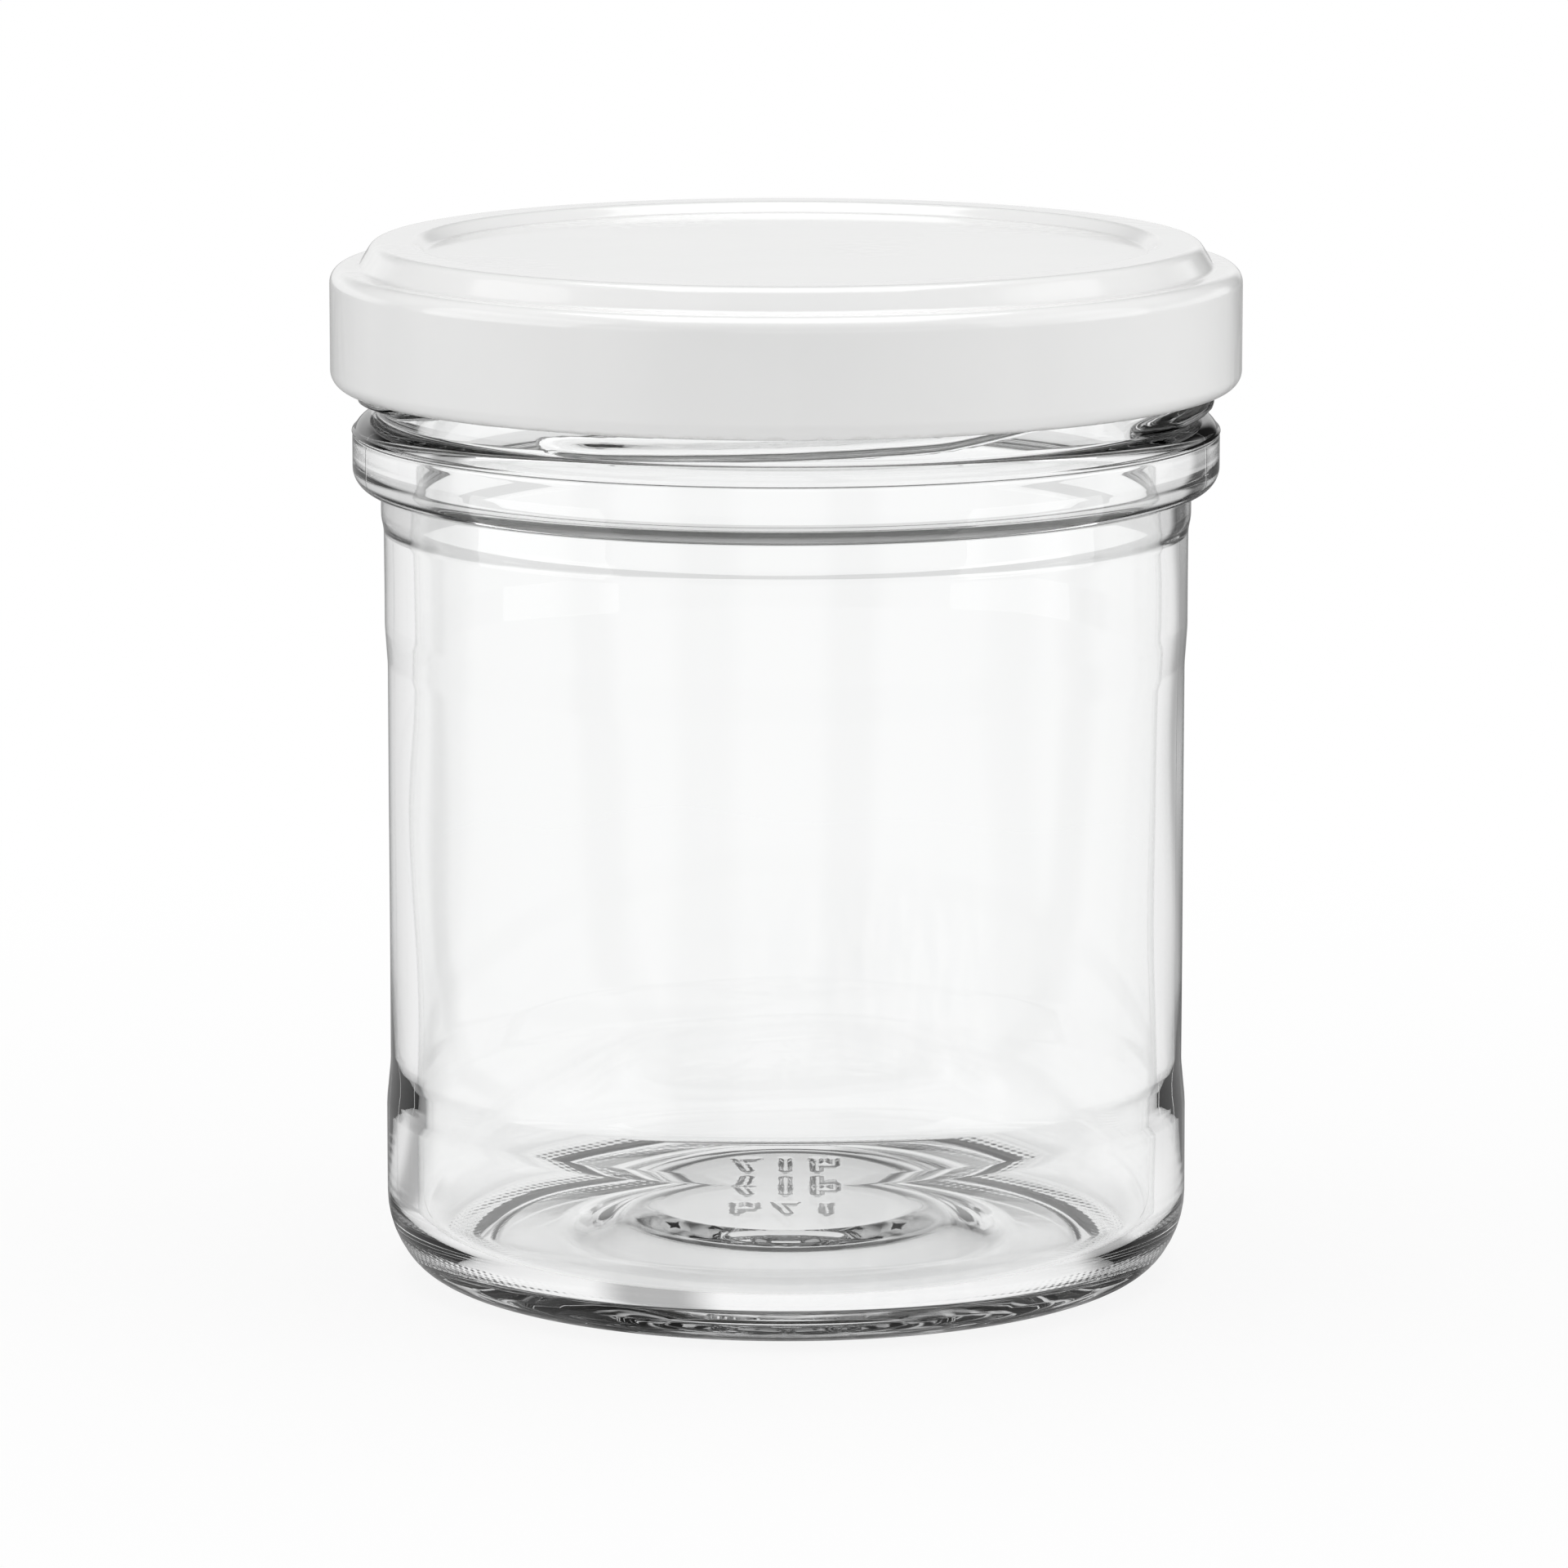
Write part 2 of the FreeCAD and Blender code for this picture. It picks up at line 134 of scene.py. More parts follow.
# %% Mesh from a grid of points
def turned_mesh(name, radius, height, turn):
    """Closed mesh of a turned surface whose first and last rows lie on the axis.

    radius and height are grids (row along the section, column round the axis).  A point is
    (radius cos turn, radius sin turn, height).  Neighbouring rows and columns make a quad,
    and each end row is one point joined to its neighbours by a fan of triangles.
    """
    rows, columns = radius.shape
    grid = np.stack([radius * np.cos(turn), radius * np.sin(turn), height], axis=-1)[1:-1]
    poles = np.array([[0, 0, height[0].mean()], [0, 0, height[-1].mean()]])
    points = np.concatenate([grid.reshape(-1, 3), poles]) * MM
    ids = np.arange((rows - 2) * columns).reshape(rows - 2, columns)
    ahead = np.roll(ids, -1, axis=1)
    quads = np.stack([ids[:-1], ahead[:-1], ahead[1:], ids[1:]], axis=-1).reshape(-1, 4)
    low, high = np.full(columns, ids.size), np.full(columns, ids.size + 1)
    fans = np.concatenate([np.stack([ahead[0], ids[0], low], axis=-1),
                           np.stack([ids[-1], ahead[-1], high], axis=-1)])
    mesh = bpy.data.meshes.new(name)
    mesh.vertices.add(len(points))
    mesh.vertices.foreach_set("co", points.ravel())
    corners = np.concatenate([quads.ravel(), fans.ravel()])
    starts = np.concatenate([np.arange(len(quads)) * 4, quads.size + np.arange(len(fans)) * 3])
    mesh.loops.add(len(corners))
    mesh.loops.foreach_set("vertex_index", corners.astype(np.int32))
    mesh.polygons.add(len(starts))
    mesh.polygons.foreach_set("loop_start", starts.astype(np.int32))
    mesh.update(calc_edges=True)
    mesh.validate()
    mesh.shade_smooth()
    piece = bpy.data.objects.new(name, mesh)
    bpy.context.scene.collection.objects.link(piece)
    print(name, rows, "x", columns, "points,", 2 * len(quads) + len(fans), "triangles")
    return piece


# %% Marks on the points of a mesh
def mark_points(piece, name, rows, columns):
    """Store one number for every row of a turned surface as a point attribute."""
    values = np.append(np.repeat(rows[1:-1], columns), [rows[0], rows[-1]])
    attribute = piece.data.attributes.new(name, "FLOAT", "POINT")
    attribute.data.foreach_set("value", values.astype(np.float32))
    print(piece.name, "is marked", name, "on", int(rows.sum()), "rows")


# %% A soft step
def soft_step(low, high, value):
    """0 below low, 1 above high, and a level-ended cubic between them."""
    t = np.clip((value - low) / (high - low), 0, 1)
    return t * t * (3 - 2 * t)


# %% [markdown]
# ## The glass section
#
# The glass is pressed and blown in an iron mould.  From below: a hollow push-up, a narrow
# ring that it stands on, a heel of two radii, the wall with a label panel a hair's breadth
# deep, a small ledge, the carrying bead that machines hold it by, and the neck.  The inside
# is softer, because no tool touches it: long radii and a floor that domes over the push-up.
# A cylinder with a Solidify modifier would give one even wall, and an even wall is just what
# blown glass never has, so the outside and the inside are drawn as one closed line.
#
# Heights come from the frame: the bead hangs from the lid's edge, the ledge from the bead.

# %% Main sizes of the glass
rim = jar_high[2]
lid_edge = lid_low[2]
bead_radius = jar_high[0]
body_radius = bead_radius - 2.25
neck_radius = body_radius + 0.2
bore_radius = neck_radius - 2.8
inner_radius = body_radius - 2.3
panel_radius = body_radius - 0.3
band_radius = body_radius + 0.1
bead_top = lid_edge - 2.2
bead_foot = bead_top - 5.7
ledge = bead_foot - 2.6
pushup = 2.6                       # the hollow under the middle of the base
rim_height = pushup - 1.9          # the lower step round that hollow
floor_middle = pushup + 2.3
floor_low = floor_middle - 1.8
mark_reach = 10.0                  # the number lies inside this radius
thread_zone = 73.2                 # the neck has closely spaced rows up to here
print("glass stands", round(rim, 2), "mm tall, its body", round(2 * body_radius, 2), "mm across")

# %% Outline of the glass
glass_corners = [
    # from the middle of the base out to the standing ring
    (0.0, pushup, 0, 0.18),
    (mark_reach, pushup, 0, 0.7),
    (body_radius - 19.5, pushup, 8, 0.6),
    (body_radius - 15.0, rim_height + 0.2, 6, 0.9),
    (body_radius - 8.42, rim_height, 3, 0.5),
    (body_radius - 6.42, 0.0, 1.2, 0.5),
    (body_radius - 2.67, 0.0, 4.39, 0.5),
    # heel, label panel and ledge
    (body_radius, 3.94, 7.3, 1.2),
    (body_radius, 13.3, 6, 1.2),
    (panel_radius, 16.3, 6, 3.0),
    (panel_radius, ledge - 11, 6, 1.2),
    (body_radius - 0.1, ledge - 8, 6, 2.0),
    (body_radius - 0.1, ledge - 0.5, 3, 0.4),
    (band_radius, ledge + 0.5, 3, 0.8),
    # bead, neck and rim
    (band_radius, bead_foot, 0.25, 0.4),
    (bead_radius, bead_foot, 1.75, 0.4),
    (bead_radius, bead_top, 1.75, 0.09),
    (neck_radius, bead_top, 0.25, 0.16),
    (neck_radius, thread_zone, 0, 1.5),
    (neck_radius, rim, 0.9, 0.5),
    # down the inside to the middle of the floor
    (bore_radius, rim, 0.9, 2.0),
    (bore_radius, ledge + 4.0, 8, 1.0),
    (inner_radius, ledge - 0.5, 8, 3.0),
    (inner_radius, floor_low, 3.2, 1.2),
    (inner_radius - 11.7, floor_low, 6, 0.8),
    (inner_radius - 17.7, floor_middle, 8, 1.6),
    (0.0, floor_middle, 0, 1.0),
]
glass_line = section_line(glass_corners)
print("glass section has", len(glass_line), "points")

# %% [markdown]
# ## Relief on the glass: threads, number, parting line and waves
#
# The thread is four separate ridges.  Each one climbs gently, turns at a knee and then climbs
# steeply to let a lug of the lid in.  It could be a swept curve joined to the neck with a
# Boolean, but pressed glass has no joint there: the ridge melts into the neck.  Raising the
# neck's own surface gives just that.
#
# The number under the base is drawn the same way, by how far each point lies from the strokes.
# It reads right way round from below, as it does on a real jar.  The parting line is where
# the ring that forms the neck met the mould of the body.  The waves are where the glass
# cooled unevenly, and they are deeper inside, because no mould touched it there.

# %% Round the glass
COLUMNS = 248
turn = np.linspace(0, 2 * math.pi, COLUMNS, endpoint=False)[None, :]
line_radius, line_height = glass_line[:, :1], glass_line[:, 1:]
highest_row = int(np.argmax(line_height[:, 0]))
outside = (np.arange(len(glass_line)) <= highest_row)[:, None]
print("the outside of the glass is the first", int(outside.sum()), "rows")

# %% Four short threads
thread_count, thread_height = 4, 1.6
knee_turn, knee_height = 21.0, lid_edge - 0.55
low_run, low_rise = 55.0, 1.1      # degrees round the neck, and mm of height, of the gentle run
steep_run, steep_rise = 45.0, 3.5  # and of the steep one
low_fade = (-1.0, 9.0)             # degrees past the gentle end over which the ridge comes up
steep_fade = (-8.0, 1.0)           # and past the steep end over which it goes down
crest_half, foot_half = 0.15, 0.8  # mm from the ridge's middle line to its crest's edge and foot
thread_spacing = 360 / thread_count
print("each thread climbs", low_rise + steep_rise, "mm in", low_run + steep_run, "degrees")


def thread_ridge(turn, height):
    """How far each point stands out of the neck.

    Round the neck, degrees from the nearest knee give the ridge's middle height: one slope
    before the knee and another after it.  Away from that height the ridge falls off in a
    soft step, and it fades to nothing at both of its ends.
    """
    from_start = np.degrees(turn) - knee_turn + low_run + 8 * thread_spacing  # never negative
    past_knee = from_start % thread_spacing - low_run
    ridge = np.zeros(np.broadcast_shapes(turn.shape, height.shape))
    for lap in (0, 1):  # neighbouring threads overlap, one above the other
        along = past_knee + lap * thread_spacing
        rise = np.where(along < 0, along * low_rise / low_run, along * steep_rise / steep_run)
        come = soft_step(-low_run + low_fade[0], -low_run + low_fade[1], along)
        go = soft_step(steep_run + steep_fade[0], steep_run + steep_fade[1], along)
        away = np.abs(height - (knee_height + rise))
        profile = 1 - soft_step(crest_half, foot_half, away)
        ridge = np.maximum(ridge, thread_height * (come * (1 - go)) * profile)
    return ridge


# %% The number and bar under the base
stroke = 0.7                     # mm: width of a stroke
digit_wide, digit_tall = 2.0, 4.2
digit_gap, row_pitch = 1.2, 6.8  # between two digits, and from row to row
mark_raise, mark_edge = 0.25, 0.12  # how far it stands out, and half its soft edge
half_wide, half_tall = (digit_wide - stroke) / 2, (digit_tall - stroke) / 2
DIGITS = {
    "1": [((0, -1), (0, 1))],
    "4": [((1, -1), (1, 1)), ((-1, 1), (-1, -0.1)), ((-1, -0.1), (1, -0.1))],
    "7": [((-1, 1), (1, 1)), ((1, 1), (-0.2, -1))],
}
MARK_ROWS = ["174", "417"]
NOWHERE_NEAR = 1e3  # mm


def mark_strokes():
    """Ends of every stroke, as one array: digits in rows over a bar, mirrored left to right."""
    bar_half = digit_wide + digit_gap + half_wide
    bar_place = -row_pitch - digit_tall / 2 + stroke / 2
    strokes = [((-bar_half, bar_place), (bar_half, bar_place))]
    for row, digits in enumerate(MARK_ROWS):
        for column, digit in enumerate(digits):
            middle = np.array([(column - 1) * (digit_wide + digit_gap), row * row_pitch])
            strokes += [tuple(middle + np.array(end) * (half_wide, half_tall) for end in ends)
                        for ends in DIGITS[digit]]
    return np.array(strokes, float) * (-1, 1)


def mark_relief(x, y):
    """Height of the raised mark: full close to the middle line of a stroke, then a soft edge.

    The distance to a stroke is measured to the nearest point of its middle line, and the
    soft edge runs across the place that is half a stroke's width away.
    """
    nearest = np.full(x.shape, NOWHERE_NEAR)
    for start, end in mark_strokes():
        along = end - start
        t = ((x - start[0]) * along[0] + (y - start[1]) * along[1]) / (along @ along)
        t = np.clip(t, 0, 1)
        off_x, off_y = x - start[0] - t * along[0], y - start[1] - t * along[1]
        nearest = np.minimum(nearest, np.hypot(off_x, off_y))
    return mark_raise * (1 - soft_step(stroke / 2 - mark_edge, stroke / 2 + mark_edge, nearest))


print("the number has", len(mark_strokes()), "strokes with its bar")

# %% The parting line of the neck ring
parting_height = bead_top - 1.2
parting_raise = 0.13
parting_crest, parting_half = 0.03, 0.2  # mm from its middle to its crest's edge and to its foot
print("parting line at", round(parting_height, 2), "mm")


def parting_ridge(height):
    """A fine rib where the neck ring of the mould met its body: highest at its middle height."""
    away = np.abs(height - parting_height)
    return parting_raise * (1 - soft_step(parting_crest, parting_half, away))


# %% Waves in the wall
WAVES = (  # share, waves round the wall, mm of height for a radian, start in radians
    (1.0, 3, 9.0, 0.6),
    (0.6, 5, -5.5, 2.1),
    (0.35, 9, 3.7, 4.0),
)
print("waves round the wall:", [round_wall for share, round_wall, climb, start in WAVES])


def wall_waves(turn, height, depth):
    """Slow swells left by the mould and the blown inside: three sines round and up the wall."""
    total = sum(share * np.sin(round_wall * turn + height / climb + start)
                for share, round_wall, climb, start in WAVES)
    return depth * total / sum(share for share, *others in WAVES)


# %% The glass jar
OUTER_WAVE, INNER_WAVE = 0.02, 0.09  # mm
INNER_SHIFT = 1.3                    # radians from the waves of the outside to those of the inside
WAVES_START = (6, 16)                # mm of height over which the waves come up
WAVES_END = (bead_foot - 8, bead_foot - 3)
NECK_LOW, NECK_HIGH = bead_top + 0.05, rim - 1
BASE_HIGH = floor_middle - 0.5       # what lies lower and near the axis is the underside

glass_radius = line_radius + 0 * turn
glass_height = line_height + 0 * turn
above_bead = (line_height > NECK_LOW) & (line_height < NECK_HIGH)
on_neck = outside & above_bead & (line_radius > bore_radius + 1)
glass_radius = glass_radius + on_neck * thread_ridge(turn, line_height)
glass_radius = glass_radius + outside * parting_ridge(line_height)
under_base = outside & (line_radius < mark_reach) & (line_height < BASE_HIGH)
number = mark_relief(line_radius * np.cos(turn), line_radius * np.sin(turn))
glass_height = glass_height - under_base * number
wall_part = soft_step(*WAVES_START, line_height) * (1 - soft_step(*WAVES_END, line_height))
outer_waves = OUTER_WAVE + wall_waves(turn, line_height, OUTER_WAVE)
inner_waves = wall_waves(turn + INNER_SHIFT, line_height, INNER_WAVE)
glass_radius = glass_radius - wall_part * np.where(outside, outer_waves, inner_waves)
jar = turned_mesh("jar_glass", glass_radius, glass_height, turn)
mark_points(jar, "outside", outside[:, 0].astype(float), COLUMNS)
crest = float(glass_radius[on_neck[:, 0]].max())
print("thread crest", round(crest, 2), "mm from the axis")

# %% [markdown]
# ## The lid section
#
# The lid is one disc of 0.25 mm tinplate, pressed and rolled: a flat panel, a raised sealing
# ring, a shoulder, the skirt and a lower edge rolled inwards so that it can't cut.  Four
# places of that edge are pressed further in, as lugs that slide under the threads.  A
# Solidify modifier could give the sheet its thickness, but the inside differs from the
# outside: the channel over the rim is filled with sealing compound.

# %% Outline of the lid
lid_top = lid_high[2]
lid_radius = lid_high[0]
tin = 0.25
curl_radius = lid_radius - 1.8
panel_height = lid_top - 0.8
shoulder = lid_top - 1.85
panel_edge = neck_radius - 3.6
compound_face = rim + 0.02

lid_corners = [
    # under the lid, from the middle out over the compound to the rolled edge
    (0.0, panel_height - tin, 0, 2.5),
    (bore_radius - 0.35, panel_height - tin, 0.15, 0.5),
    (bore_radius - 0.1, compound_face, 0.15, 0.5),
    (neck_radius + 0.67, compound_face, 0.15, 0.5),
    (neck_radius + 1.42, shoulder - tin, 0.3, 0.5),
    (lid_radius - tin, shoulder - tin, 0.95, 1.2),
    (lid_radius - tin, lid_edge + tin, 1.15, 0.4),
    (curl_radius + tin, lid_edge + tin, 0.3, 0.3),
    (curl_radius + tin, lid_edge + 1.4, 0.08, 0.2),
    # round the edge and back over the outside
    (curl_radius, lid_edge + 1.4, 0.08, 0.2),
    (curl_radius, lid_edge, 0.45, 0.2),
    (lid_radius, lid_edge, 1.3, 1.4),
    (lid_radius, shoulder, 1.2, 0.5),
    (neck_radius + 1.55, shoulder, 0.5, 0.3),
    (neck_radius + 0.4, lid_top, 1.0, 0.3),
    (panel_edge + 0.9, lid_top, 0.8, 0.3),
    (panel_edge, panel_height, 0.5, 2.2),
    (0.0, panel_height, 0, 1.0),
]
lid_line = section_line(lid_corners)
print("lid section has", len(lid_line), "points")

# %% The lid with its four lugs
LID_COLUMNS = 320
lid_turn = np.linspace(0, 2 * math.pi, LID_COLUMNS, endpoint=False)[None, :]
lug_turn, lug_depth = knee_turn + 36, 1.1   # degrees to the first lug, and mm that it reaches in
lug_flat, lug_end = 3.5, 7.5                # degrees from its middle to where its side starts and ends
CURL_OUT, CURL_IN = curl_radius + 1.0, curl_radius + 0.3  # the press fades from the second to the first
CURL_TOP = (lid_edge + 2, lid_edge + 3)     # and over these heights


def lug_press(turn):
    """1 in the middle of each lug and 0 between them, with soft sides; one lug to a thread."""
    past = (np.degrees(turn) - lug_turn + thread_spacing / 2) % thread_spacing
    return 1 - soft_step(lug_flat, lug_end, np.abs(past - thread_spacing / 2))


edge_radius, edge_height = lid_line[:, :1], lid_line[:, 1:]
in_curl = soft_step(CURL_OUT, CURL_IN, edge_radius) * (1 - soft_step(*CURL_TOP, edge_height))
in_curl = in_curl * (edge_radius > curl_radius - 0.5)
lid_surface = edge_radius - in_curl * lug_depth * lug_press(lid_turn)
lid = turned_mesh("lid_tinplate", lid_surface, edge_height + 0 * lid_turn, lid_turn)
before_roll = np.arange(len(lid_line)) < np.argmax(lid_line[:, 1] < lid_edge + 1.5 * tin)
on_compound = before_roll & (lid_line[:, 1] > rim)
mark_points(lid, "inside", before_roll.astype(float), LID_COLUMNS)
mark_points(lid, "compound", on_compound.astype(float), LID_COLUMNS)

# %% [markdown]
# ## What the two pieces belong to
#
# A screwed-down lid holds still on its jar, so both pieces ride the one body that there is.
# Each takes the place of the plain piece of the frame that it was measured from.

# %% Ride and replace
for piece, node in ((jar, "jar"), (lid, "lid")):
    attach(piece, "root")
    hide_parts(node)
print("pieces:", jar.name, "and", lid.name)

# %% [markdown]
# ## Node helpers
#
# A material is a small network.  It could be drawn by hand in the shader editor, but in code
# it is built from named values and stays in step with the shapes.  A few helpers keep that
# readable: they add a node, join two sockets, and stand for the nodes used most.

# %% Helpers for nodes and sockets
def add_node(tree, kind, **settings):
    """A new node with its properties set by name."""
    node = tree.nodes.new(kind)
    for key, value in settings.items():
        setattr(node, key, value)
    return node


def feed(tree, target, source):
    """Join a socket to an input, or set the input when source is a plain value."""
    if isinstance(source, bpy.types.NodeSocket):
        tree.links.new(source, target)
    else:
        target.default_value = source


def math_node(tree, operation, *values):
    """Output of a Math node whose inputs are sockets or numbers."""
    node = add_node(tree, "ShaderNodeMath", operation=operation)
    for slot, value in zip(node.inputs, values):
        feed(tree, slot, value)
    return node.outputs[0]


def ramp_between(tree, value, low, high):
    """0 at low and under, 1 at high and over, with soft ends."""
    node = add_node(tree, "ShaderNodeMapRange", interpolation_type="SMOOTHSTEP")
    for slot, number in (("Value", value), ("From Min", low), ("From Max", high)):
        feed(tree, node.inputs[slot], number)
    return node.outputs["Result"]


# %% Helpers for patterns and colours
def noise(tree, coordinates, scale, detail, roughness=0.5):
    """Factor of a Noise Texture on the given coordinates."""
    node = add_node(tree, "ShaderNodeTexNoise")
    feed(tree, node.inputs["Vector"], coordinates)
    for slot, number in (("Scale", scale), ("Detail", detail), ("Roughness", roughness)):
        feed(tree, node.inputs[slot], number)
    return node.outputs["Fac"]


def stretched(tree, coordinates, x, y, z):
    """Coordinates scaled along each axis, to draw a pattern out."""
    node = add_node(tree, "ShaderNodeMapping")
    feed(tree, node.inputs["Vector"], coordinates)
    node.inputs["Scale"].default_value = (x, y, z)
    return node.outputs["Vector"]


def split_axes(tree, coordinates):
    """The X, Y and Z outputs of a node that takes coordinates apart."""
    node = add_node(tree, "ShaderNodeSeparateXYZ")
    feed(tree, node.inputs[0], coordinates)
    return node.outputs


def blend_colour(tree, mask, under, over):
    """One colour laid over another by a mask; each may be a socket or a colour."""
    node = add_node(tree, "ShaderNodeMix", data_type="RGBA")
    feed(tree, node.inputs["Factor"], mask)
    feed(tree, node.inputs["A"], under)
    feed(tree, node.inputs["B"], over)
    return node.outputs["Result"]


# %% Helpers for materials and groups
def new_material(name):
    """A node material that shows one Principled shader: the material, its tree and the shader."""
    material = bpy.data.materials.new(name)
    material.use_nodes = True
    tree = material.node_tree
    tree.nodes.clear()
    shader = add_node(tree, "ShaderNodeBsdfPrincipled")
    output = add_node(tree, "ShaderNodeOutputMaterial")
    tree.links.new(shader.outputs["BSDF"], output.inputs["Surface"])
    return material, tree, shader


def bump_by(tree, shader, height):
    """Feed a height in metres to the shader's normal through a Bump node."""
    bump = add_node(tree, "ShaderNodeBump")
    bump.inputs["Distance"].default_value = 1.0
    feed(tree, bump.inputs["Height"], height)
    feed(tree, shader.inputs["Normal"], bump.outputs["Normal"])


def new_group(name, inputs, outputs):
    """An empty group, its tree, its entry and its exit, with sockets given as (name, kind) pairs."""
    tree = bpy.data.node_groups.new(name, "ShaderNodeTree")
    for direction, sockets in (("INPUT", inputs), ("OUTPUT", outputs)):
        for label, kind in sockets:
            tree.interface.new_socket(label, in_out=direction, socket_type="NodeSocket" + kind)
    return tree, add_node(tree, "NodeGroupInput"), add_node(tree, "NodeGroupOutput")


def place_group(tree, group, **inputs):
    """The output of a group node whose inputs are fed by name."""
    node = add_node(tree, "ShaderNodeGroup", node_tree=group)
    for key, value in inputs.items():
        feed(tree, node.inputs[key], value)
    return node.outputs[0]


# %% [markdown]
# ## Smears and ripple
#
# Glass and lacquer are both glossy, and gloss shows two things: where hands have been, and
# how flat the surface really is.  Each is a node group with its own inputs, built once.
# Painting a texture would give more control, but noise in Object coordinates needs no
# unwrapping and never shows a seam.
#
# Smears: a broad noise picks the few patches that were held, and a drawn-out noise inside
# them leaves streaks.  Both finishes have them.  Ripple: swells of a given size, as a height
# in metres.  The lacquer places it twice, slow for the sheet and fine for the sprayed coat;
# the glass has its waves in the mesh, where they also bend what lies behind.

# %% Smears
PATCH_EDGE = 0.12                        # of the broad noise: from a clean place to a held one
STREAKS, STREAK_EDGES = 900.0, (0.3, 0.65)  # streaks in a metre, and the noise where they start and end
STREAK_DRAW = 0.25                       # a streak is drawn out four times upwards


def smear_group():
    """Group: position, patches in a metre and how much is clean; out come streaks from 0 to 1."""
    tree, entry, leave = new_group("handling_smears", [("Position", "Vector"), ("Patches", "Float"),
                                                       ("Clean", "Float")], [("Smear", "Float")])
    position, clean = entry.outputs["Position"], entry.outputs["Clean"]
    broad = noise(tree, position, entry.outputs["Patches"], detail=0.0)
    held = ramp_between(tree, broad, clean, math_node(tree, "ADD", clean, PATCH_EDGE))
    streaks = noise(tree, stretched(tree, position, 1.0, 1.0, STREAK_DRAW), STREAKS, detail=0.0)
    streaks = ramp_between(tree, streaks, *STREAK_EDGES)
    feed(tree, leave.inputs["Smear"], math_node(tree, "MULTIPLY", held, streaks))
    return tree


# %% Ripple
def ripple_group():
    """Group: position, ripples in a metre and their height in metres; out comes the height there."""
    tree, entry, leave = new_group("surface_ripple", [("Position", "Vector"), ("Ripples", "Float"),
                                                      ("Tall", "Float")], [("Height", "Float")])
    ripple = noise(tree, entry.outputs["Position"], entry.outputs["Ripples"], detail=0.0)
    feed(tree, leave.inputs["Height"], math_node(tree, "MULTIPLY", ripple, entry.outputs["Tall"]))
    return tree


handling_smears, surface_ripple = smear_group(), ripple_group()
print("groups:", handling_smears.name, surface_ripple.name)

# %% [markdown]
# ## Clear glass
#
# Flint glass has no colour of its own to speak of, only a trace of grey where light runs a
# long way inside it.  The shader needs closed walls and an index of refraction, and it does
# the rest.  What it can't know is that a real jar is never optically clean: fingertips leave
# smears, the two halves of the mould leave a seam up each side, and the standing ring is
# stippled so that it takes the scuffs of the conveyor.  Seams and stipple are far too fine
# for the mesh, so they are heights in a bump.
#
# Where a wall is seen edge on, its colour is painted dark: painted shade standing in for the
# dark edge of real glass there.  Absorption through the whole thickness would be the true way,
# but it would grey the heavy base as well, so the shade is painted only where the surface is grazed.

# %% Where on the glass
SEAM_CREST, SEAM_WIDE = 0.000066, 0.00022  # metres: half the width of its crest and of its foot
SEAM_TALL = 0.00005                        # metres
SEAM_SIDE = ((body_radius - 1.5) * MM, (body_radius - 1.0) * MM)  # how far out the seams begin
SEAM_TOP = (bead_top - 0.4) * MM
STIPPLE_PITCH, STIPPLE_TALL = 0.0011, 0.000012  # metres: of the sines that make the dots
RING_TOP = 0.25 * MM                       # the standing ring lies below this height

glass, tree, shader = new_material("clear_glass")
where = add_node(tree, "ShaderNodeTexCoord").outputs["Object"]
axes = split_axes(tree, where)
outer_side = add_node(tree, "ShaderNodeAttribute", attribute_name="outside").outputs["Fac"]

# %% Seams and stipple as heights
off_seam = math_node(tree, "ABSOLUTE", axes["Y"])
seam = math_node(tree, "SUBTRACT", 1.0, ramp_between(tree, off_seam, SEAM_CREST, SEAM_WIDE))
on_side = ramp_between(tree, math_node(tree, "ABSOLUTE", axes["X"]), *SEAM_SIDE)
on_wall = math_node(tree, "MULTIPLY", on_side, math_node(tree, "LESS_THAN", axes["Z"], SEAM_TOP))
seam = math_node(tree, "MULTIPLY", seam, math_node(tree, "MULTIPLY", on_wall, outer_side))
dots = [math_node(tree, "MULTIPLY", axes[axis], 2 * math.pi / STIPPLE_PITCH) for axis in ("X", "Y")]
dots = math_node(tree, "MULTIPLY", *(math_node(tree, "SINE", row) for row in dots))
underfoot = math_node(tree, "LESS_THAN", axes["Z"], RING_TOP)
stipple = math_node(tree, "MULTIPLY", math_node(tree, "MULTIPLY", dots, underfoot), STIPPLE_TALL)
bump_by(tree, shader, math_node(tree, "MULTIPLY_ADD", seam, SEAM_TALL, stipple))
print("glass has seams", SEAM_WIDE * 2 / MM, "mm wide and a stipple of", STIPPLE_PITCH / MM, "mm pitch")

# %% Glass colour and gloss
CLEAN_GLASS, SMEARED_GLASS = (0.992, 0.995, 0.994, 1), (0.965, 0.970, 0.970, 1)
EDGE_SHADE_GLASS, EDGE_SHADE_FACING = (0.22, 0.23, 0.23, 1), (0.84, 0.96)  # painted shade: dark grey where a wall is grazed, and the Facing over which it comes in
GLASS_PATCHES, GLASS_CLEAN = 26.0, 0.60
SMEAR_ROUGH, SCUFF_ROUGH = 0.05, 0.12
GLASS_IOR = 1.52

smear = place_group(tree, handling_smears, Position=where, Patches=GLASS_PATCHES, Clean=GLASS_CLEAN)
facing = add_node(tree, "ShaderNodeLayerWeight").outputs["Facing"]
smear_and_edge_shade = blend_colour(tree, smear, CLEAN_GLASS, SMEARED_GLASS)
